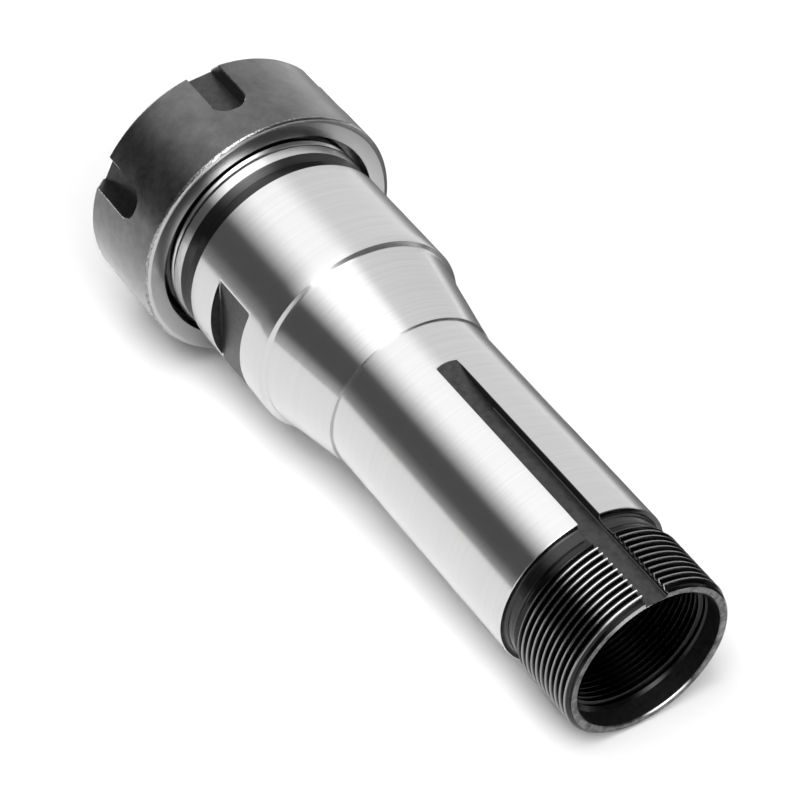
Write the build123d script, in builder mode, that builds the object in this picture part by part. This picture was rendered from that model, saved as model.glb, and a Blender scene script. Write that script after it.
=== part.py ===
from build123d import *
from math import radians, sqrt, tan
import os

os.makedirs("parts", exist_ok=True)

# Collet chuck holder: a one-piece turned steel body with a keyed cylindrical shank, and a
# one-piece clamping nut screwed on its nose. Sizes are in millimetres. The axis is Z. The
# holder stands on the nut's front face at Z = 0, with the threaded tail of the shank up.

# Nose thread, shared by the body and the nut
nose_thread_radius = 20.0
thread_clearance = 0.05

# Clamping nut, outside. Its wall and slot floors are measured outwards from its own thread.
nut_wall = 4.95
nut_length = 22.5
nut_front_bevel = 3.2
nut_rear_bevel_height = 0.55
nut_rear_bevel_width = 0.9

# Hook spanner slots of the nut, open at its front face and round at their rear end
slot_count = 6
slot_width = 6.3
slot_floor_wall = 1.15
slot_length = 14.8
slot_angle_from_keyway = 3.9

# Clamping nut, inside, from the front face inwards
nut_mouth_radius = 13.75
nut_mouth_land = 1.5
nut_cone_half_angle = 30.0
nut_cone_length = 3.7
flange_groove_radius = 16.9
flange_groove_width = 1.0
lip_radius = 15.6
lip_offset = 1.0
lip_width = 2.0
nut_recess_play = 1.3
nut_recess_depth = 3.0

# Body nose and neck
nose_gap = 1.7
nose_thread_length = 16.5
nose_thread_bevel = 1.0
neck_groove_depth = 1.3
neck_groove_width = 2.8

# Body head, with a pair of spanner flats milled across it
head_radius = 20.0
head_length = 23.25
edge_break = 0.3
flat_distance = 17.8
flat_width = 9.9
flat_offset = 6.8

# Tapered seat behind the head
cone_half_angle = 10.0
cone_length = 16.55
cone_tail_radius = 16.2
cone_root_bevel = 0.5

# Shank
shank_radius = 15.875
shank_length = 49.9

# Tail: relief groove, then the fine outside thread, which is drawn as one ring groove for each turn
tail_groove_radius = 14.7
tail_groove_width = 4.8
tail_thread_radius = 15.6
tail_thread_length = 13.2
tail_thread_bevel = 0.77
tail_thread_pitch = 1.27
tail_thread_depth = 0.9
tail_thread_flank_angle = 30.0

# Keyway, cut along the shank from the tail by a disc cutter that leaves a curved run-out
keyway_width = 4.0
keyway_depth = 1.975
keyway_length = 58.3
keyway_cutter_radius = 31.5

# Inside of the body: collet taper, through bore, stop thread and its counterbore
taper_half_angle = 8.0
taper_mouth_wall = 3.5
taper_mouth_bevel = 0.5
bore_radius = 11.5
stop_thread_radius = 12.75
stop_thread_length = 15.0
tail_recess_radius = 13.63
tail_recess_depth = 3.5

# How far a cutting shape reaches past the surface that it opens through
cut_past = 2.0

# Heights along the axis that follow from the sizes above
lip_height = nut_mouth_land + nut_cone_length + flange_groove_width
nut_shoulder_height = lip_height + lip_width
nose_height = nut_shoulder_height + nose_gap
taper_height = nose_height + taper_mouth_bevel
neck_height = nose_height + nose_thread_length
head_height = neck_height + neck_groove_width
cone_height = head_height + head_length
shank_height = cone_height + cone_length
tail_groove_height = shank_height + shank_length
tail_thread_height = tail_groove_height + tail_groove_width
top_height = tail_thread_height + tail_thread_length
recess_height = top_height - tail_recess_depth
stop_thread_start = recess_height - (tail_recess_radius - stop_thread_radius)
stop_thread_height = stop_thread_start - stop_thread_length

# Radii and lengths that follow from the sizes above
nut_thread_radius = nose_thread_radius + thread_clearance
nut_radius = nut_thread_radius + nut_wall
nut_recess_radius = nut_thread_radius + nut_recess_play
nut_cone_radius = nut_mouth_radius + nut_cone_length * tan(radians(nut_cone_half_angle))
lip_least_radius = lip_radius - lip_offset
neck_groove_radius = nose_thread_radius - neck_groove_depth
taper_mouth_radius = nose_thread_radius - taper_mouth_wall
slot_floor = nut_thread_radius + slot_floor_wall
cone_head_radius = cone_tail_radius + cone_length * tan(radians(cone_half_angle))
taper_length = (taper_mouth_radius - bore_radius) / tan(radians(taper_half_angle))
keyway_floor = shank_radius - keyway_depth
keyway_run_out = sqrt(2 * keyway_cutter_radius * keyway_depth - keyway_depth**2)
keyway_end_height = top_height - keyway_length
keyway_cut_top = top_height + cut_past
keyway_cut_side = shank_radius + cut_past
tail_thread_turns = int(tail_thread_length / tail_thread_pitch)
tail_thread_mid_height = tail_thread_height + tail_thread_turns * tail_thread_pitch / 2
tail_thread_cut_width = (tail_thread_depth + cut_past) * tan(radians(tail_thread_flank_angle))
stop_thread_bevel = stop_thread_radius - bore_radius

# Clamping nut, turned in one piece with its extractor lip. The profile is drawn as radius and height.
with BuildPart() as clamping_nut:
    with BuildSketch(Plane.XZ):
        with BuildLine():
            Polyline(
                (nut_mouth_radius, 0),
                (nut_radius - nut_front_bevel, 0),
                (nut_radius, nut_front_bevel),
                (nut_radius, nut_length - nut_rear_bevel_height),
                (nut_radius - nut_rear_bevel_width, nut_length),
                (nut_recess_radius, nut_length),
                (nut_recess_radius, nut_length - nut_recess_depth),
                (nut_thread_radius, nut_length - nut_recess_depth),
                (nut_thread_radius, nut_shoulder_height),
                (lip_least_radius, nut_shoulder_height),
                (lip_least_radius, lip_height),
                (flange_groove_radius, lip_height),
                (flange_groove_radius, lip_height - flange_groove_width),
                (nut_cone_radius, lip_height - flange_groove_width),
                (nut_mouth_radius, nut_mouth_land),
                close=True,
            )
        make_face()
    revolve(axis=Axis.Z)

    # The lip's hole is set off the axis, so the lip draws the collet out by its groove
    with BuildSketch(Plane.XY.offset(lip_height)):
        with Locations((lip_offset, 0)):
            Circle(lip_radius)
    extrude(amount=lip_width, mode=Mode.SUBTRACT)

    # Spanner slots, drawn flat on their floor and cut outwards
    with BuildSketch(Plane.XZ.offset(slot_floor)):
        with BuildLine():
            Line((slot_width / 2, slot_length - slot_width / 2), (slot_width / 2, -cut_past))
            Line((slot_width / 2, -cut_past), (-slot_width / 2, -cut_past))
            Line((-slot_width / 2, -cut_past), (-slot_width / 2, slot_length - slot_width / 2))
            RadiusArc(
                (-slot_width / 2, slot_length - slot_width / 2),
                (slot_width / 2, slot_length - slot_width / 2),
                slot_width / 2,
            )
        make_face()
    slot = extrude(amount=nut_radius - slot_floor + cut_past, mode=Mode.PRIVATE)
    with PolarLocations(0, slot_count, start_angle=slot_angle_from_keyway):
        add(slot, mode=Mode.SUBTRACT)

# Holder body, turned from one bar: nose thread, head, tapered seat, shank and threaded tail
with BuildPart() as holder_body:
    with BuildSketch(Plane.XZ):
        with BuildLine():
            Polyline(
                (taper_mouth_radius + taper_mouth_bevel, nose_height),
                (nose_thread_radius - nose_thread_bevel, nose_height),
                (nose_thread_radius, nose_height + nose_thread_bevel),
                (nose_thread_radius, neck_height - neck_groove_depth),
                (neck_groove_radius, neck_height),
                (neck_groove_radius, head_height),
                (head_radius - edge_break, head_height),
                (head_radius, head_height + edge_break),
                (head_radius, cone_height),
                (cone_head_radius, cone_height),
                (cone_tail_radius, shank_height),
                (shank_radius, shank_height),
                (shank_radius, tail_groove_height),
                (tail_groove_radius, tail_groove_height),
                (tail_groove_radius, tail_thread_height),
                (tail_thread_radius, tail_thread_height),
                (tail_thread_radius, top_height - tail_thread_bevel),
                (tail_thread_radius - tail_thread_bevel, top_height),
                (tail_recess_radius, top_height),
                (tail_recess_radius, recess_height),
                (stop_thread_radius, stop_thread_start),
                (stop_thread_radius, stop_thread_height),
                (bore_radius, stop_thread_height - stop_thread_bevel),
                (bore_radius, taper_height + taper_length),
                (taper_mouth_radius, taper_height),
                close=True,
            )
        face = make_face()
        chamfer(face.vertices().sort_by_distance((cone_head_radius, cone_height))[0], cone_root_bevel)
    revolve(axis=Axis.Z)

    # Tail thread, a V groove for each turn, with a narrow flat left on the crests
    with BuildSketch(Plane.XZ):
        with Locations((tail_thread_radius, tail_thread_mid_height)):
            with GridLocations(1, tail_thread_pitch, 1, tail_thread_turns):
                Polygon(
                    (-tail_thread_depth, 0),
                    (cut_past, -tail_thread_cut_width),
                    (cut_past, tail_thread_cut_width),
                    align=None,
                )
    revolve(axis=Axis.Z, mode=Mode.SUBTRACT)

    # Spanner flats, one on each side of the head, a quarter turn from the keyway
    with BuildSketch(Plane.XY.offset(head_height + flat_offset)):
        Circle(head_radius + cut_past)
        Rectangle(2 * flat_distance, 2 * (head_radius + 2 * cut_past), mode=Mode.SUBTRACT)
    extrude(amount=flat_width, mode=Mode.SUBTRACT)

    # Keyway, drawn from its side: a straight floor that ends in the disc cutter's curve
    with BuildSketch(Plane.YZ):
        with BuildLine():
            Line((-keyway_floor, keyway_cut_top), (-keyway_floor, keyway_end_height + keyway_run_out))
            RadiusArc(
                (-keyway_floor, keyway_end_height + keyway_run_out),
                (-shank_radius, keyway_end_height),
                keyway_cutter_radius,
            )
            Line((-shank_radius, keyway_end_height), (-keyway_cut_side, keyway_end_height))
            Line((-keyway_cut_side, keyway_end_height), (-keyway_cut_side, keyway_cut_top))
            Line((-keyway_cut_side, keyway_cut_top), (-keyway_floor, keyway_cut_top))
        make_face()
    extrude(amount=keyway_width / 2, both=True, mode=Mode.SUBTRACT)

clamping_nut.part.label = "clamping_nut"
holder_body.part.label = "holder_body"
export_step(clamping_nut.part, "parts/clamping_nut.step")
export_step(holder_body.part, "parts/holder_body.step")
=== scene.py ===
import math

import bmesh
import bpy
from mathutils import Matrix, Vector


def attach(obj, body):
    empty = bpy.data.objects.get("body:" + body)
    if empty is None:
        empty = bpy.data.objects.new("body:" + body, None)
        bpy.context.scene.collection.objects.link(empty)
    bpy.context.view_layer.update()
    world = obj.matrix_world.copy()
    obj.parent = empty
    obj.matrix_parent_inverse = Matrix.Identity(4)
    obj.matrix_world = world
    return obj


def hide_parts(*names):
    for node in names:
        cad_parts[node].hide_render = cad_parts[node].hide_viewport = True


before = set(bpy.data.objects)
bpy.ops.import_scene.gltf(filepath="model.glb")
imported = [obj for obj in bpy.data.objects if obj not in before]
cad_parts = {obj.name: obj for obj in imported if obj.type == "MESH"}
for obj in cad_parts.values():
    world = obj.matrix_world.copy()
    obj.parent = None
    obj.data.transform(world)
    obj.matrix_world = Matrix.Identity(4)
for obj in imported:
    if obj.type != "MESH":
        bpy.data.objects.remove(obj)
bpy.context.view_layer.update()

# Holder body. The real one is a single bar of hardened alloy steel: turned, threaded at both
# ends, bored through, then milled for its flats and keyway. Lengths are in millimetres, and the
# nut's front face is at height 0.
MILLIMETRE = 0.001
STEPS_ROUND = 192
SHARP_ANGLE, CORNER_ANGLE = 28, 35
GROUND, BLACKENED, TAIL_THREAD, NOSE_THREAD, STOP_THREAD, OILED, RIM, DULLED = range(8)


def ring(radius, height):
    """A plain ring of the turned outline."""
    return lambda turn: (radius, height)


def thread(low, high, pitch, phase, form, limit):
    """Rings of a right-hand thread from low to high. The form gives (part of a pitch, radius)."""
    def radius_at(part):
        part = part % 1.0
        corners = form + [(1.0, form[0][1])]
        for (a, ra), (b, rb) in zip(corners, corners[1:]):
            if part <= b:
                return ra + (rb - ra) * (part - a) / (b - a)

    def row(count, part):
        def at(turn):
            height = (count + part + phase + turn) * pitch
            height = min(max(height, low), high)
            return limit(radius_at(height / pitch - turn - phase), height), height
        return at

    first = math.floor(low / pitch - phase) - 1
    last = math.ceil(high / pitch - phase)
    return [row(count, part) for count in range(first, last + 1) for part, _ in form]


def turned(name, outline, finish_count):
    """Spins a closed outline of (ring, finish) about Z into a mesh, a thread's rings as helices."""
    found, corners, faces, finishes = {}, [], [], []

    def corner(at, step):
        radius, height = at(step / STEPS_ROUND)
        angle = 2 * math.pi * step / STEPS_ROUND
        place = (radius * math.cos(angle), radius * math.sin(angle), height)
        spot = tuple(round(value, 5) for value in place)
        if spot not in found:
            found[spot] = len(corners)
            corners.append([value * MILLIMETRE for value in spot])
        return found[spot]

    for (at, finish), (after, _) in zip(outline, outline[1:] + outline[:1]):
        for step in range(STEPS_ROUND):
            loop = [
                corner(at, step), corner(at, step + 1),
                corner(after, step + 1), corner(after, step),
            ]
            loop = list(dict.fromkeys(loop))
            if len(loop) > 2:
                faces.append(loop)
                finishes.append(finish)
    mesh = bpy.data.meshes.new(name)
    mesh.from_pydata(corners, [], faces)
    for number in range(finish_count):
        mesh.materials.append(bpy.data.materials.new(name))
    mesh.polygons.foreach_set("material_index", finishes)
    form = bmesh.new()
    form.from_mesh(mesh)
    bmesh.ops.recalc_face_normals(form, faces=form.faces)
    form.to_mesh(mesh)
    form.free()
    piece = bpy.data.objects.new(name, mesh)
    bpy.context.scene.collection.objects.link(piece)
    return piece


def cutter(name, outline, place, reach):
    """A prism of a flat outline in millimetres, swept by reach from place, to cut with."""
    form = bmesh.new()
    face = form.faces.new([form.verts.new(place @ Vector((x, y, 0))) for x, y in outline])
    sweep = bmesh.ops.extrude_face_region(form, geom=[face])
    moved = [v for v in sweep["geom"] if isinstance(v, bmesh.types.BMVert)]
    bmesh.ops.translate(form, verts=moved, vec=place.to_3x3() @ Vector((0, 0, reach)))
    bmesh.ops.scale(form, vec=(MILLIMETRE,) * 3, verts=form.verts)
    bmesh.ops.recalc_face_normals(form, faces=form.faces)
    mesh = bpy.data.meshes.new(name)
    form.to_mesh(mesh)
    form.free()
    tool = bpy.data.objects.new(name, mesh)
    bpy.context.scene.collection.objects.link(tool)
    return tool


def cut(piece, tools):
    """Cuts the tools out of a piece for good."""
    for tool in tools:
        step = piece.modifiers.new("cut", "BOOLEAN")
        step.operation, step.solver, step.object = "DIFFERENCE", "EXACT", tool
    bpy.context.view_layer.update()
    state = bpy.context.evaluated_depsgraph_get()
    shaped = bpy.data.meshes.new_from_object(piece.evaluated_get(state))
    piece.modifiers.clear()
    piece.data = shaped
    for tool in tools:
        bpy.data.objects.remove(tool)


def mark(piece, belongs, finish):
    """Gives a finish to the faces that belong to a cut."""
    form = bmesh.new()
    form.from_mesh(piece.data)
    for face in form.faces:
        if belongs(face):
            face.material_index = finish
    form.to_mesh(piece.data)
    form.free()


def break_edges(piece, is_cut, width, finish):
    """Bevels the edges where a cut face meets one that isn't, as a stone or a file does."""
    form = bmesh.new()
    form.from_mesh(piece.data)
    bmesh.ops.dissolve_degenerate(form, dist=1e-7, edges=form.edges)
    edges = [
        edge for edge in form.edges
        if len(edge.link_faces) == 2
        and is_cut(edge.link_faces[0]) != is_cut(edge.link_faces[1])
        and edge.calc_face_angle(0) > math.radians(CORNER_ANGLE)
    ]
    bmesh.ops.bevel(
        form, geom=edges, offset=width * MILLIMETRE, segments=1, affect="EDGES", material=finish,
    )
    form.to_mesh(piece.data)
    form.free()


def smooth(piece):
    """Shades a piece smooth, except across its sharp edges."""
    piece.data.polygons.foreach_set("use_smooth", [True] * len(piece.data.polygons))
    piece.data.set_sharp_from_angle(angle=math.radians(SHARP_ANGLE))


# Heights and radii of the body's outline, from the nose to the tail and back through the bore.
# The threads' phases turn them to where they start and end on the real holder.
nose, nose_crest, nose_pitch, nose_chamfer = 9.9, 20.0, 1.5, 1.0
nose_oiled, nose_run_out, run_out_slope = 21.3, 23.5, 0.4
band_end, band_radius, band_round = 25.1, 19.6, 0.08
neck, neck_radius, head = 26.4, 18.7, 29.2
head_radius, edge_break = 20.0, 0.3
cone, cone_radius, shank = 52.45, 19.118, 69.0
cone_tail_radius, shank_radius, shank_break = 16.2, 15.875, 0.12
groove, groove_radius, groove_fillet = 118.9, 14.7, 0.6
run_out_start = 121.2
tail, tail_crest, tail_pitch, tail_bevel, top = 123.7, 15.6, 1.27, 0.77, 136.9
recess_radius, recess, mouth_break = 13.63, 133.4, 0.2
stop_crest, stop_pitch, stop_end = 12.75, 1.058, 117.52
bore_radius, taper_end, taper_mouth, taper_bevel = 11.5, 45.98, 16.5, 0.5
nose_thread_phase, tail_thread_phase, stop_thread_phase = 0.87, 0.03, 0.4

# Extra rings near the flats and the keyway's end keep the faces there small, so they shade evenly.
head_rings = (33, 35, 35.7, 46.2, 47, 49)
shank_rings = (76.0, 77.6, 78.3, 79.2, 81, 83, 85, 87, 89.6)

# A 60 degree thread is 0.6134 of its pitch deep, and each crest falls away a little at its sides.
thread_depth, crest_round = 0.6134, 0.02
nose_root = nose_crest - thread_depth * nose_pitch
tail_root = tail_crest - thread_depth * tail_pitch
stop_root = stop_crest + thread_depth * stop_pitch
nose_side, tail_side = nose_crest - crest_round, tail_crest - crest_round
stop_side = stop_crest + crest_round
nose_form = [
    (0, nose_crest), (0.06, nose_side), (0.34, nose_root), (0.66, nose_root), (0.94, nose_side),
]
tail_form = [
    (0, tail_crest), (0.08, tail_side), (0.36, tail_root), (0.64, tail_root), (0.92, tail_side),
]
stop_form = [
    (0, stop_crest), (0.06, stop_side), (0.36, stop_root), (0.64, stop_root), (0.94, stop_side),
]


def nose_limit(radius, height):
    """Keeps the nose thread inside its chamfer, and fills it up where it runs out."""
    run_out = nose_crest - run_out_slope * (nose_run_out - height)
    return min(max(radius, run_out), nose_crest - nose_chamfer + (height - nose))


def tail_limit(radius, height):
    """Keeps the tail thread inside its bevel, and down to the groove where it runs out."""
    share = (height - run_out_start) / (tail - run_out_start)
    run_out = groove_radius + (tail_crest - groove_radius) * share
    return min(radius, run_out, tail_crest + top - tail_bevel - height)


def stop_limit(radius, height):
    """Opens the stop thread with a bevel to the counterbore."""
    return max(radius, stop_crest + height - (recess - recess_radius + stop_crest))


outline = [
    (ring(taper_mouth + taper_bevel, nose), BLACKENED),
    (ring(nose_crest - nose_chamfer, nose), NOSE_THREAD),
]
outline += [
    (row, finish)
    for low, high, finish in (
        (nose, nose_oiled, OILED), (nose_oiled, nose_run_out, NOSE_THREAD),
    )
    for row in thread(low, high, nose_pitch, nose_thread_phase, nose_form, nose_limit)
]
# The plain band behind the nose thread tapers a little, and a bevel leads down to the neck.
outline += [
    (ring(nose_crest, nose_run_out), NOSE_THREAD),
    (ring(nose_crest - crest_round, nose_run_out + band_round), NOSE_THREAD),
    (ring(band_radius + crest_round, band_end - band_round), NOSE_THREAD),
    (ring(band_radius, band_end), DULLED),
    (ring(band_radius - 0.04, band_end + 0.06), DULLED),
    (ring(neck_radius, neck), OILED),
    (ring(neck_radius, head), OILED),
    (ring(head_radius - edge_break, head), GROUND),
    (ring(head_radius, head + edge_break), GROUND),
]
outline += [(ring(head_radius, height), GROUND) for height in head_rings]
# The step behind the head has a broken edge, leans back and ends in a small fillet. Each pair is
# a radius and how far behind the head's end it lies.
step_edge = (
    (head_radius, -0.24), (head_radius - 0.04, -0.13), (head_radius - 0.12, -0.07),
    (head_radius - 0.7, 0.19), (head_radius - 0.76, 0.24),
    (cone_radius, 0.38), (cone_radius - 0.08, 0.6), (cone_radius - 0.15, 0.85),
)
outline += [(ring(radius, cone + behind), GROUND) for radius, behind in step_edge]
outline += [(ring(cone_tail_radius, shank), GROUND), (ring(shank_radius, shank), GROUND)]
outline += [(ring(shank_radius, height), GROUND) for height in shank_rings]
outline += [
    (ring(shank_radius, groove - shank_break), GROUND),
    (ring(shank_radius - shank_break, groove), OILED),
]
outline += [
    (ring(
        groove_radius + groove_fillet - groove_fillet * math.sin(a),
        groove + groove_fillet - groove_fillet * math.cos(a),
    ), OILED)
    for a in [math.radians(step * 15) for step in range(7)]
]
# A shallow line turned in the tail groove's floor: how deep it is, and at what height.
turned_line = ((0, 120.75), (0.05, 120.85), (0.05, 121.0), (0, 121.1), (0, run_out_start))
outline += [(ring(groove_radius - depth, height), OILED) for depth, height in turned_line]
tail_rows = thread(run_out_start, top, tail_pitch, tail_thread_phase, tail_form, tail_limit)
outline += [(row, TAIL_THREAD) for row in tail_rows[:-1]] + [(tail_rows[-1], RIM)]
outline += [
    (ring(recess_radius + mouth_break, top), RIM),
    (ring(recess_radius, top - mouth_break), BLACKENED),
    (ring(recess_radius, recess), OILED),
]
stop_rows = thread(stop_end, recess, stop_pitch, stop_thread_phase, stop_form, stop_limit)
outline += [(row, STOP_THREAD) for row in reversed(stop_rows)]
outline += [
    (ring(stop_crest, stop_end), BLACKENED),
    (ring(bore_radius, stop_end - (stop_crest - bore_radius)), BLACKENED),
    (ring(bore_radius, taper_end), GROUND),
    (ring(taper_mouth, nose + taper_bevel), BLACKENED),
]
body = turned("holder_body_steel", outline, 8)

# The keyway is cut from the tail by a disc cutter, which leaves its own curve at the end.
keyway_half, keyway_floor, keyway_start, cutter_radius = 2.0, 13.9, 78.6, 31.5
cutter_steps, cutter_overrun, outside_body, past_top = 24, 1.12, 18, 2
keyway_depth = shank_radius - keyway_floor
run_out = math.sqrt(2 * cutter_radius * keyway_depth - keyway_depth ** 2)
keyway_side = [(-keyway_floor, top + past_top)]
for step in range(cutter_steps + 1):
    rise = run_out * cutter_overrun * step / cutter_steps
    keyway_side.append((
        -keyway_floor - cutter_radius + math.sqrt(cutter_radius ** 2 - rise ** 2),
        keyway_start + run_out - rise,
    ))
keyway_side += [(-outside_body, keyway_side[-1][1]), (-outside_body, top + past_top)]
key_place = Matrix(((0, 0, 1, -keyway_half), (1, 0, 0, 0), (0, 1, 0, 0), (0, 0, 0, 1)))
keyway_tool = cutter("keyway_tool", keyway_side, key_place, 2 * keyway_half)

# The spanner flats are milled across both sides of the head, with small corners to their ends.
flat, flat_low, flat_high, flat_corner = 17.8, 36.0, 45.9, 0.12
flat_outside, flat_reach, milled_break = 23, 22, 0.12
flat_side = [
    (flat + flat_corner, flat_low), (flat_outside, flat_low),
    (flat_outside, flat_high), (flat + flat_corner, flat_high),
    (flat, flat_high - flat_corner), (flat, flat_low + flat_corner),
]
flat_tools = []
for side in (1, -1):
    flat_place = Matrix(((side, 0, 0, 0), (0, 0, 1, -flat_reach), (0, 1, 0, 0), (0, 0, 0, 1)))
    flat_tools.append(cutter("flat_tool", flat_side, flat_place, 2 * flat_reach))
cut(body, [keyway_tool] + flat_tools)


def is_milled(face):
    """Whether a face of the body belongs to the keyway or to a spanner flat. The small numbers
    are tolerances, in millimetres and in how square the face stands."""
    spot = face.calc_center_median() / MILLIMETRE
    way = face.normal
    in_keyway = spot.z > keyway_start - 0.1 and abs(spot.x) < keyway_half + 0.001
    if spot.y < 0.05 - keyway_floor and in_keyway:
        return abs(way.x) > 0.9 or math.hypot(spot.x, spot.y) < shank_radius - 0.012
    if flat - 0.01 < abs(spot.x) and flat_low - 0.01 < spot.z < flat_high + 0.01:
        return abs(way.x) > 0.999 or abs(way.z) > 0.99
    return False


def is_broken(face):
    """Whether a milled face lies below the tail groove, where its edges are broken."""
    return is_milled(face) and face.calc_center_median().z < (groove - 0.2) * MILLIMETRE


mark(body, is_milled, BLACKENED)
break_edges(body, is_broken, milled_break, GROUND)
smooth(body)


def linear(code):
    """Turns an sRGB hex colour into the linear values that a shader takes."""
    parts = [int(code[i:i + 2], 16) / 255 for i in (1, 3, 5)]
    return tuple(p / 12.92 if p <= 0.04045 else ((p + 0.055) / 1.055) ** 2.4 for p in parts) + (1,)


def add(tree, kind, settings=None, links=None):
    """Adds a node with its settings and its links. A number names an input by its place, and a
    ramp's stops are pairs of a place from 0 to 1 and a colour."""
    node = tree.nodes.new(kind)
    for name, value in (settings or {}).items():
        if name == "stops":
            elements = node.color_ramp.elements
            while len(elements) < len(value):
                elements.new(0.5)
            for element, (spot, colour) in zip(elements, value):
                element.position, element.color = spot, colour
        elif isinstance(name, str) and hasattr(node, name):
            setattr(node, name, value)
        else:
            node.inputs[name].default_value = value
    for name, source in (links or {}).items():
        tree.links.new(source, node.inputs[name])
    return node


def finish_of(name):
    """A new material with an empty tree, and its output node."""
    made = bpy.data.materials.new(name)
    made.use_nodes = True
    made.node_tree.nodes.clear()
    return made, made.node_tree, add(made.node_tree, "ShaderNodeOutputMaterial")


def marks_round(tree, across, lengthwise):
    """Fine marks that run round the axis, with so many to a millimetre across and lengthwise."""
    place = add(tree, "ShaderNodeTexCoord").outputs["Object"]
    squeezed = add(tree, "ShaderNodeVectorMath", {
        "operation": "MULTIPLY",
        1: (across / MILLIMETRE, across / MILLIMETRE, lengthwise / MILLIMETRE),
    }, {0: place})
    return add(tree, "ShaderNodeTexNoise", {"Scale": 1, "Detail": 3, "Roughness": 0.6}, {
        "Vector": squeezed.outputs[0],
    })


# Ground steel: hardened steel, ground between centres, so fine scratches run round it and it
# mirrors the studio as lengthwise bands. The real scratches are too fine to show, so they are
# drawn 2.6 to a millimetre.
ground, tree, out = finish_of("ground_alloy_steel")
scratch = marks_round(tree, 0.03, 2.6)
tone = add(tree, "ShaderNodeValToRGB", {
    "stops": [(0.3, linear("#CACACA")), (0.7, linear("#CFCFCF"))],
}, {0: scratch.outputs[0]})
bump = add(tree, "ShaderNodeBump", {"Strength": 0.05, "Distance": 0.05 * MILLIMETRE}, {
    "Height": scratch.outputs[0],
})
grain = add(tree, "ShaderNodeTangent", {"direction_type": "RADIAL", "axis": "Z"})
steel = add(tree, "ShaderNodeBsdfPrincipled", {
    "Metallic": 1.0, "Roughness": 0.2, "Anisotropic": 0.85, "Anisotropic Rotation": 0.25,
}, {"Base Color": tone.outputs[0], "Normal": bump.outputs[0], "Tangent": grain.outputs[0]})
tree.links.new(steel.outputs[0], out.inputs[0])

# Blackened steel: milled faces left as they came from hardening, dark and satin, with clouds
# about a millimetre across.
blackened, tree, out = finish_of("blackened_milled_steel")
place = add(tree, "ShaderNodeTexCoord").outputs["Object"]
cloud = add(tree, "ShaderNodeTexNoise", {
    "Scale": 0.9 / MILLIMETRE, "Detail": 3, "Roughness": 0.6,
}, {"Vector": place})
tone = add(tree, "ShaderNodeValToRGB", {
    "stops": [(0.3, linear("#3C3C3D")), (0.7, linear("#4E4E4F"))],
}, {0: cloud.outputs[0]})
steel = add(tree, "ShaderNodeBsdfPrincipled", {"Metallic": 0.9, "Roughness": 0.38}, {
    "Base Color": tone.outputs[0],
})
tree.links.new(steel.outputs[0], out.inputs[0])

# Oiled black steel: turned faces with a thin oil film over their black skin, so they look black
# from the front and shine towards their edges. The turning marks are drawn coarse enough to show.
oiled, tree, out = finish_of("oiled_black_turned_steel")
turning = marks_round(tree, 0.06, 2.6)
tone = add(tree, "ShaderNodeValToRGB", {
    "stops": [(0.3, linear("#202021")), (0.7, linear("#2E2E2F"))],
}, {0: turning.outputs[0]})
bump = add(tree, "ShaderNodeBump", {"Strength": 0.1, "Distance": 0.05 * MILLIMETRE}, {
    "Height": turning.outputs[0],
})
steel = add(tree, "ShaderNodeBsdfPrincipled", {
    "Metallic": 1.0, "Roughness": 0.35, "Coat Weight": 0.5, "Coat Roughness": 0.1, "Coat IOR": 1.6,
}, {"Base Color": tone.outputs[0], "Normal": bump.outputs[0]})
tree.links.new(steel.outputs[0], out.inputs[0])

# The way from the axis to the side next to the keyway, which faces the light overhead: the tail's
# crests and rim get a painted highlight there. Then the way to where the rim's inner edge gets a
# painted highlight, and the radii at which that begins and is full.
highlight_side = (0.276, -0.961, 0)
glint_side = (-0.342, 0.94, 0)
glint_from, glint_full = 13.9, 13.84


def out_from_axis(tree):
    """How far a spot is from the holder's axis, and the way out to it."""
    place = add(tree, "ShaderNodeTexCoord").outputs["Object"]
    flatwise = add(tree, "ShaderNodeVectorMath", {"operation": "MULTIPLY", 1: (1, 1, 0)}, {0: place})
    radius = add(tree, "ShaderNodeVectorMath", {"operation": "LENGTH"}, {0: flatwise.outputs[0]})
    way = add(tree, "ShaderNodeVectorMath", {"operation": "NORMALIZE"}, {0: flatwise.outputs[0]})
    return radius.outputs["Value"], way.outputs[0]


def towards(tree, way, side, start, full, most=1.0):
    """How much the way out from the axis points to a side, as 0 to most between two cosines."""
    share = add(tree, "ShaderNodeVectorMath", {"operation": "DOT_PRODUCT", 1: side}, {0: way})
    return add(tree, "ShaderNodeMapRange", {1: start, 2: full, 4: most}, {
        0: share.outputs["Value"],
    })


def thread_finish(name, black, bare, crest, highlight_crest, side_start, side_full):
    """Steel thread, oily black at one radius in millimetres and bare at the other, its crest. The
    crest's second colour is a painted highlight, towards one side of the axis."""
    made, tree, out = finish_of(name)
    radius, way = out_from_axis(tree)
    worn = add(tree, "ShaderNodeMapRange", {1: black * MILLIMETRE, 2: bare * MILLIMETRE}, {
        0: radius,
    })
    # Painted highlight: the crest is lighter towards the side that faces the light.
    highlight_share = towards(tree, way, highlight_side, side_start, side_full)
    bare_tone = add(tree, "ShaderNodeMix", {
        "data_type": "RGBA", 6: linear(crest), 7: linear(highlight_crest),
    }, {0: highlight_share.outputs[0]})
    tone = add(tree, "ShaderNodeMix", {"data_type": "RGBA", 6: linear("#303031")}, {
        0: worn.outputs[0], 7: bare_tone.outputs[2],
    })
    grain = add(tree, "ShaderNodeTangent", {"direction_type": "RADIAL", "axis": "Z"})
    steel = add(tree, "ShaderNodeBsdfPrincipled", {
        "Metallic": 1.0, "Roughness": 0.22, "Anisotropic": 0.6, "Anisotropic Rotation": 0.25,
    }, {"Base Color": tone.outputs[2], "Tangent": grain.outputs[0]})
    tree.links.new(steel.outputs[0], out.inputs[0])
    return made
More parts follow.
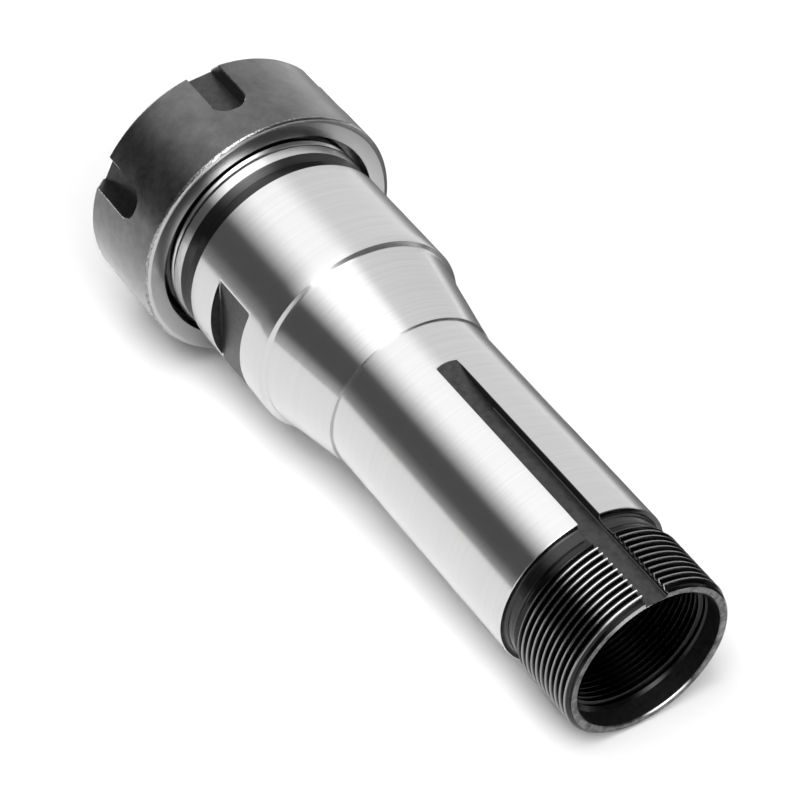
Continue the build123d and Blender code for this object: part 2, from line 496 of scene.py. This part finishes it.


# The tail thread's crests are grey, with a painted highlight next to the keyway. The nose thread's
# are bright all round where the nut leaves them bare, with a slight painted highlight on that side,
# and the stop thread's stay dark, with a painted highlight that lightens them towards that side.
tail_steel = thread_finish("tail_thread_painted_highlight", 15.34, 15.54, "#909090", "#E0E0E0", 0.92, 0.975)
nose_steel = thread_finish("bare_nose_thread_painted_highlight", 19.0, 19.6, "#CCCCCC", "#DADADA", 0.9, 1.0)
stop_steel = thread_finish("stop_thread_painted_highlight", 12.9, 12.78, "#343434", "#606060", -1, 1)

# Worn black rim: the tail's end face, its black skin rubbed through in patches, with a painted
# highlight on the side next to the keyway. Its inner edge has a painted highlight over a short way
# opposite the keyway.
rim, tree, out = finish_of("worn_black_rim_painted_highlights")
place = add(tree, "ShaderNodeTexCoord").outputs["Object"]
patches = add(tree, "ShaderNodeTexNoise", {
    "Scale": 0.6 / MILLIMETRE, "Detail": 5, "Roughness": 0.7,
}, {"Vector": place})
tone = add(tree, "ShaderNodeValToRGB", {
    "stops": [(0.38, linear("#3E3E3E")), (0.66, linear("#848484"))],
}, {0: patches.outputs[0]})
radius, way = out_from_axis(tree)
# Painted highlight on the side next to the keyway.
highlight_share = towards(tree, way, highlight_side, 0.93, 0.99, 0.8)
tone = add(tree, "ShaderNodeMix", {"data_type": "RGBA", 7: linear("#B8B8B8")}, {
    0: highlight_share.outputs[0], 6: tone.outputs[0],
})
# Painted highlight along the inner edge, opposite the keyway.
inner = add(tree, "ShaderNodeMapRange", {
    1: glint_from * MILLIMETRE, 2: glint_full * MILLIMETRE,
}, {0: radius})
glint_share = towards(tree, way, glint_side, 0.93, 0.97)
bare = add(tree, "ShaderNodeMath", {"operation": "MULTIPLY"}, {
    0: inner.outputs[0], 1: glint_share.outputs[0],
})
tone = add(tree, "ShaderNodeMix", {"data_type": "RGBA", 7: linear("#F0F0F0")}, {
    0: bare.outputs[0], 6: tone.outputs[2],
})
steel = add(tree, "ShaderNodeBsdfPrincipled", {"Metallic": 1.0, "Roughness": 0.35}, {
    "Base Color": tone.outputs[2],
})
tree.links.new(steel.outputs[0], out.inputs[0])

# Dulled steel: the bevel that the nose thread ends in, turned and left with a grey film of old oil.
dulled, tree, out = finish_of("dulled_turned_steel")
turning = marks_round(tree, 0.06, 2.6)
tone = add(tree, "ShaderNodeValToRGB", {
    "stops": [(0.3, linear("#363636")), (0.7, linear("#484848"))],
}, {0: turning.outputs[0]})
grain = add(tree, "ShaderNodeTangent", {"direction_type": "RADIAL", "axis": "Z"})
steel = add(tree, "ShaderNodeBsdfPrincipled", {
    "Metallic": 1.0, "Roughness": 0.22, "Anisotropic": 0.5, "Anisotropic Rotation": 0.25,
}, {"Base Color": tone.outputs[0], "Tangent": grain.outputs[0]})
tree.links.new(steel.outputs[0], out.inputs[0])

body_finishes = (ground, blackened, tail_steel, nose_steel, stop_steel, oiled, rim, dulled)
for number, finish in enumerate(body_finishes):
    body.data.materials[number] = finish
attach(body, "body")
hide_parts("holder_body")

# Clamping nut. The real one is turned in one piece from hardened steel with an extractor lip
# inside its mouth, slotted for a hook spanner, black oxide finished and screwed on the nose.
nut_radius, nut_top, nut_bevel = 25.0, 22.5, 3.2
nut_thread, shoulder = 20.05, 8.2
nut_recess, nut_recess_depth = 21.35, 3.0
nut_mouth, mouth_land, nut_cone = 13.75, 1.5, 15.886
flange_groove, flange_low, flange_high = 16.9, 5.2, 6.2
lip_radius, lip_offset = 15.6, 1.0
slot_half, slot_floor, slot_length, slot_turn = 3.15, 21.2, 14.8, 3.9
slot_spacing, slot_reach, past_front, slot_break = 60, 6, 2, 0.18
nut_rings = (6, 9, 12, 14.9, 15.4, 18)


def lip(height):
    """The ring of the extractor lip's hole, which is set off the axis."""
    def at(turn):
        angle = 2 * math.pi * turn
        aside = lip_offset * math.sin(angle)
        return lip_offset * math.cos(angle) + math.sqrt(lip_radius ** 2 - aside ** 2), height
    return at


# The nut's thread is 0.55 of its pitch deep.
nut_root = nut_thread + 0.55 * nose_pitch
nut_form = [(0, nut_root), (0.1, nut_root), (0.42, nut_thread), (0.58, nut_thread), (0.9, nut_root)]
OUTSIDE, EDGE, FACE, SLOT = range(4)
nut_outline = [
    (ring(nut_mouth, 0), OUTSIDE),
    (ring(nut_radius - nut_bevel, 0), OUTSIDE),
    (ring(nut_radius, nut_bevel), OUTSIDE),
]
nut_outline += [(ring(nut_radius, height), OUTSIDE) for height in nut_rings]
# The rear edge: how far in from the outside, how far below the rear face, and the finish.
rear_edge = (
    (0, 0.55, EDGE), (0.1, 0.37, EDGE), (0.4, 0.16, FACE), (0.9, 0, FACE), (0.96, 0, FACE),
)
nut_outline += [
    (ring(nut_radius - inwards, nut_top - below), finish) for inwards, below, finish in rear_edge
]
nut_outline += [
    (ring(nut_recess, nut_top), SLOT),
    (ring(nut_recess, nut_top - nut_recess_depth), OUTSIDE),
]
nut_rows = thread(
    shoulder, nut_top - nut_recess_depth, nose_pitch, nose_thread_phase, nut_form,
    lambda radius, height: radius,
)
nut_outline += [(row, OUTSIDE) for row in reversed(nut_rows)]
nut_outline += [
    (lip(shoulder), OUTSIDE),
    (lip(flange_high), OUTSIDE),
    (ring(flange_groove, flange_high), OUTSIDE),
    (ring(flange_groove, flange_low), OUTSIDE),
    (ring(nut_cone, flange_low), OUTSIDE),
    (ring(nut_mouth, mouth_land), OUTSIDE),
]
nut = turned("clamping_nut_steel", nut_outline, 4)

# The six slots are round at the rear and open at the front face.
slot_centre = slot_length - slot_half
slot_outline = [(slot_half, -past_front)]
slot_outline += [
    (slot_half * math.cos(math.radians(a)), slot_centre + slot_half * math.sin(math.radians(a)))
    for a in range(0, 181, 6)
]
slot_outline += [(-slot_half, -past_front)]
slot_tools = []
for number in range(6):
    angle = math.radians(-90 + slot_turn + slot_spacing * number)
    outwards = Vector((math.cos(angle), math.sin(angle), 0))
    across = Vector((-math.sin(angle), math.cos(angle), 0))
    place = Matrix((across, (0, 0, 1), outwards)).transposed().to_4x4()
    place.translation = outwards * slot_floor
    slot_tools.append(cutter("slot_tool", slot_outline, place, slot_reach))
cut(nut, slot_tools)


def is_slot(face):
    """Whether a face of the nut belongs to a spanner slot. The small numbers are tolerances, in
    millimetres and in how square the face stands."""
    spot = face.calc_center_median() / MILLIMETRE
    angle = math.degrees(math.atan2(spot.y, spot.x)) + 90 - slot_turn
    part = math.radians((angle + slot_spacing / 2) % slot_spacing - slot_spacing / 2)
    distance = math.hypot(spot.x, spot.y)
    outwards, aside = distance * math.cos(part), distance * math.sin(part)
    if spot.z > slot_length + 0.01 or abs(aside) > slot_half + 0.01 or outwards < slot_floor - 0.01:
        return False
    if outwards < slot_floor + 0.01:
        return True
    middle = math.radians(round(angle / slot_spacing) * slot_spacing - 90 + slot_turn)
    slot_way = Vector((math.cos(middle), math.sin(middle), 0))
    edge = abs(aside) if spot.z < slot_centre else math.hypot(aside, spot.z - slot_centre)
    return edge > slot_half - 0.05 and abs(face.normal.dot(slot_way)) < 0.1


mark(nut, is_slot, SLOT)
break_edges(nut, is_slot, slot_break, EDGE)
smooth(nut)

# Black oxide: a dense black skin on turned steel, rubbed with oil. It is dark grey from the
# front, with clouds of 4 to 5 mm, and turns pale towards its outline.
oxide, tree, out = finish_of("black_oxide_turned_steel")
place = add(tree, "ShaderNodeTexCoord").outputs["Object"]
cloud = add(tree, "ShaderNodeTexNoise", {
    "Scale": 0.22 / MILLIMETRE, "Detail": 6, "Roughness": 0.7,
}, {"Vector": place})
tone = add(tree, "ShaderNodeValToRGB", {
    "stops": [(0.32, linear("#202020")), (0.72, linear("#505050"))],
}, {0: cloud.outputs[0]})
steel = add(tree, "ShaderNodeBsdfPrincipled", {
    "Metallic": 1.0, "Roughness": 0.4, "Coat Weight": 1.0, "Coat Roughness": 0.25, "Coat IOR": 1.7,
}, {"Base Color": tone.outputs[0]})
tree.links.new(steel.outputs[0], out.inputs[0])

# Worn edge: the nut's rear bevel and the slots' edges, where handling has rubbed the oxide off in
# speckles of 0.2 mm.
worn, tree, out = finish_of("worn_edge_steel")
place = add(tree, "ShaderNodeTexCoord").outputs["Object"]
speckle = add(tree, "ShaderNodeTexNoise", {
    "Scale": 5 / MILLIMETRE, "Detail": 2, "Roughness": 0.7,
}, {"Vector": place})
tone = add(tree, "ShaderNodeValToRGB", {
    "stops": [(0.42, linear("#282828")), (0.6, linear("#D0D0D0"))],
}, {0: speckle.outputs[0]})
steel = add(tree, "ShaderNodeBsdfPrincipled", {"Metallic": 1.0, "Roughness": 0.2}, {
    "Base Color": tone.outputs[0],
})
tree.links.new(steel.outputs[0], out.inputs[0])

# Faced steel: the nut's rear face, turned square and left bare, so it mirrors the head in front
# of it. Its turning marks are drawn 2.5 to a millimetre, coarse enough to show.
faced, tree, out = finish_of("faced_bare_steel")
radius, _ = out_from_axis(tree)
turning = add(tree, "ShaderNodeTexNoise", {
    "noise_dimensions": "1D", "Scale": 2.5 / MILLIMETRE, "Detail": 2,
}, {"W": radius})
bump = add(tree, "ShaderNodeBump", {"Strength": 0.1, "Distance": 0.05 * MILLIMETRE}, {
    "Height": turning.outputs[0],
})
steel = add(tree, "ShaderNodeBsdfPrincipled", {
    "Metallic": 1.0, "Roughness": 0.26, "Base Color": linear("#B8B8B8"),
}, {"Normal": bump.outputs[0]})
tree.links.new(steel.outputs[0], out.inputs[0])
for number, finish in enumerate((oxide, worn, faced, blackened)):
    nut.data.materials[number] = finish
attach(nut, "nut")
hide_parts("clamping_nut")

# Studio floor. The holder lies on its nut's rim and its tail, keyway up, on a seamless white
# paper floor. Seen from below, the floor lets the view through.
up = Vector((-0.0379, -0.9960, -0.0811)).normalized()
rest_point = Vector((0.95, 24.98, 21.95)) * MILLIMETRE
along = Vector((0, 0, 1)) - up * up.z
along.normalize()
beside = along.cross(up)
floor_reach, floor_side = 3, 0.4
floor_corners = (
    (-floor_reach, -floor_reach), (floor_reach, -floor_reach),
    (floor_reach, floor_side), (-floor_reach, floor_side),
)
floor_mesh = bpy.data.meshes.new("paper_floor")
floor_mesh.from_pydata(
    [rest_point + along * a + beside * b for a, b in floor_corners], [], [(0, 3, 2, 1)],
)
floor = bpy.data.objects.new("paper_floor", floor_mesh)
bpy.context.scene.collection.objects.link(floor)
paper, tree, out = finish_of("white_seamless_paper")
path = add(tree, "ShaderNodeLightPath")
behind = add(tree, "ShaderNodeNewGeometry")
matt = add(tree, "ShaderNodeBsdfDiffuse", {"Color": linear("#F2F2F2")})
place = add(tree, "ShaderNodeTexCoord").outputs["Object"]
across = add(tree, "ShaderNodeSeparateXYZ", {}, {0: place})
# A slight glow lifts the paper to white for the camera. Reflections see a little more of it,
# which fades out over 0.2 m on the side of the flats.
near = add(tree, "ShaderNodeMapRange", {1: 0.01, 2: 0.2, 3: 0.06, 4: 0.0}, {0: across.outputs["X"]})
mirrored = add(tree, "ShaderNodeMath", {"operation": "MULTIPLY"}, {
    0: path.outputs["Is Glossy Ray"], 1: near.outputs[0],
})
direct = add(tree, "ShaderNodeMath", {"operation": "MULTIPLY_ADD", 1: 0.03}, {
    0: path.outputs["Is Camera Ray"], 2: mirrored.outputs[0],
})
lift = add(tree, "ShaderNodeEmission", {}, {"Strength": direct.outputs[0]})
both = add(tree, "ShaderNodeAddShader", {}, {0: matt.outputs[0], 1: lift.outputs[0]})
through = add(tree, "ShaderNodeBsdfTransparent")
side = add(tree, "ShaderNodeMixShader", {}, {
    0: behind.outputs["Backfacing"], 1: both.outputs[0], 2: through.outputs[0],
})
tree.links.new(side.outputs[0], out.inputs[0])
floor_mesh.materials.append(paper)

# Painted shade card: a glowing sheet on the floor beside the holder, with a strip of it under the
# shank's far side, standing in for the floor's shade there. Only reflections see it: it paints the
# dark line along the steel's far edge and the shade on the step behind the head.
card_mesh = bpy.data.meshes.new("painted_shade_card")
card_above_floor = 0.3 * MILLIMETRE
# Metres along the holder from where its nut rests, and metres from there to the far side.
card_corners = (
    (-0.4, 0.045), (0.045, 0.045), (0.085, 0.045), (0.3, 0.045), (0.3, 0.3), (-0.4, 0.3),
    (0.045, 0.02), (0.085, 0.02),
)
card_place = rest_point + up * card_above_floor
card_mesh.from_pydata(
    [card_place + along * a - beside * b for a, b in card_corners], [],
    [(0, 1, 2, 3, 4, 5), (6, 7, 2, 1)],
)
card = bpy.data.objects.new("painted_shade_card", card_mesh)
bpy.context.scene.collection.objects.link(card)
card.visible_camera = card.visible_diffuse = False
card.visible_shadow = card.visible_transmission = False
shade_card_finish, tree, out = finish_of("painted_shade_card_glow")
place = add(tree, "ShaderNodeTexCoord").outputs["Object"]
across = add(tree, "ShaderNodeSeparateXYZ", {}, {0: place})
# Its glow is dimmest next to the holder and paler farther off, and past the tail it is nearly out:
# painted shade.
part = add(tree, "ShaderNodeMapRange", {1: -0.045, 2: -0.3}, {0: across.outputs["X"]})
shade = add(tree, "ShaderNodeValToRGB", {
    "stops": [(0.0, (0.15, 0.15, 0.15, 1)), (0.4, (0.5, 0.5, 0.5, 1)), (0.7, (1, 1, 1, 1))],
}, {0: part.outputs[0]})
unlit = add(tree, "ShaderNodeMapRange", {1: 0.12, 2: 0.15, 3: 1.0, 4: 0.1}, {0: across.outputs["Z"]})
glow = add(tree, "ShaderNodeEmission", {}, {"Color": shade.outputs[0], "Strength": unlit.outputs[0]})
tree.links.new(glow.outputs[0], out.inputs[0])
card_mesh.materials.append(shade_card_finish)

# Studio light: a soft overhead light along the holder, a dark wall on the side of its flats.
# The world holds it, and the camera sees plain white.
world = bpy.data.worlds.new("studio")
bpy.context.scene.world = world
world.use_nodes = True
tree = world.node_tree
tree.nodes.clear()
way = add(tree, "ShaderNodeTexCoord").outputs["Generated"]
parts = add(tree, "ShaderNodeSeparateXYZ", {}, {0: way})
height = parts.outputs["Z"]
around = add(tree, "ShaderNodeMath", {"operation": "ARCTAN2"}, {
    0: parts.outputs["Y"], 1: parts.outputs["X"],
})
half = add(tree, "ShaderNodeMath", {"operation": "ABSOLUTE"}, {0: around.outputs[0]})
part = add(tree, "ShaderNodeMath", {"operation": "DIVIDE", 1: math.pi}, {0: half.outputs[0]})
brightest, unlit_level = 10.0, 0.08


def bands(steps):
    """The light round the holder: pairs of the angle from its side with the flats, and the level."""
    stops = [(degrees / 180, (level / brightest,) * 3 + (1,)) for degrees, level in steps]
    return add(tree, "ShaderNodeValToRGB", {"stops": stops}, {0: part.outputs[0]})


# What reflections see: a dark wall beside the flats, a long soft light overhead and a white wall
# on the far side. The first is towards the nut's end and the second straight across. The third is
# towards the tail's end, where the light is brighter and the far wall is dark.
nutward = bands([
    (0, 0.3), (12, 0.1), (40, 0.1), (65, 1.2), (75, 1.5), (100, 1.5), (120, 1.0), (180, 1.0),
])
level_way = bands([(0, 0.6), (12, 0.1), (40, 0.1), (65, 1.7), (100, 1.7), (110, 1.0), (180, 0.9)])
tailward = bands([
    (0, 0.1), (45, 0.2), (60, 1.5), (80, 4.5), (90, 4.5), (115, 0.5), (125, 0.1), (180, 0.1),
])
off_nut = add(tree, "ShaderNodeMapRange", {1: -0.5, 2: -0.4}, {0: height})
to_tail = add(tree, "ShaderNodeMapRange", {1: 0.2, 2: 0.45}, {0: height})
level = add(tree, "ShaderNodeMix", {"data_type": "RGBA"}, {
    0: off_nut.outputs[0], 6: nutward.outputs[0], 7: level_way.outputs[0],
})
level = add(tree, "ShaderNodeMix", {"data_type": "RGBA"}, {
    0: to_tail.outputs[0], 6: level.outputs[2], 7: tailward.outputs[0],
})
# What lights the paper and gives the holder its shadow: one strip overhead, which only diffuse
# rays see, and which fades out towards the nut's end.
overhead = bands([
    (0, unlit_level), (54, unlit_level), (65, 8.1), (87, 8.1), (94, unlit_level),
    (180, unlit_level),
])
past_nut = add(tree, "ShaderNodeMapRange", {1: 0.0, 2: -0.4}, {0: height})
above = add(tree, "ShaderNodeMix", {
    "data_type": "RGBA", 7: (unlit_level / brightest,) * 3 + (1,),
}, {0: past_nut.outputs[0], 6: overhead.outputs[0]})
path = add(tree, "ShaderNodeLightPath")
level = add(tree, "ShaderNodeMix", {"data_type": "RGBA"}, {
    0: path.outputs["Is Diffuse Ray"], 6: level.outputs[2], 7: above.outputs[2],
})
light = add(tree, "ShaderNodeBackground", {"Strength": brightest}, {"Color": level.outputs[2]})
white = add(tree, "ShaderNodeBackground", {"Strength": 1.0, "Color": (1, 1, 1, 1)})
sky = add(tree, "ShaderNodeMixShader", {}, {
    0: path.outputs["Is Camera Ray"], 1: light.outputs[0], 2: white.outputs[0],
})
tree.links.new(sky.outputs[0], add(tree, "ShaderNodeOutputWorld").inputs[0])

# Camera. It stands where the photograph was taken from, at the place and with the lens that the
# ellipses of the holder's turned edges give.
lens = bpy.data.cameras.new("camera")
lens.sensor_width, lens.lens = 36, 133.409
lens.clip_start = 0.01
camera = bpy.data.objects.new("camera", lens)
right, upwards, back = (
    Vector((-0.84176809, -0.01375633, 0.53966401)),
    Vector((-0.37644103, -0.70156904, -0.60505622)),
    Vector((0.38693492, -0.71246869, 0.58537998)),
)
pose = Matrix((right, upwards, back)).transposed().to_4x4()
pose.translation = Vector((194.7103, -354.3038, 359.9356)) * MILLIMETRE
camera.matrix_world = pose
bpy.context.scene.collection.objects.link(camera)
bpy.context.scene.camera = camera
bpy.context.scene.view_settings.view_transform = "Standard"
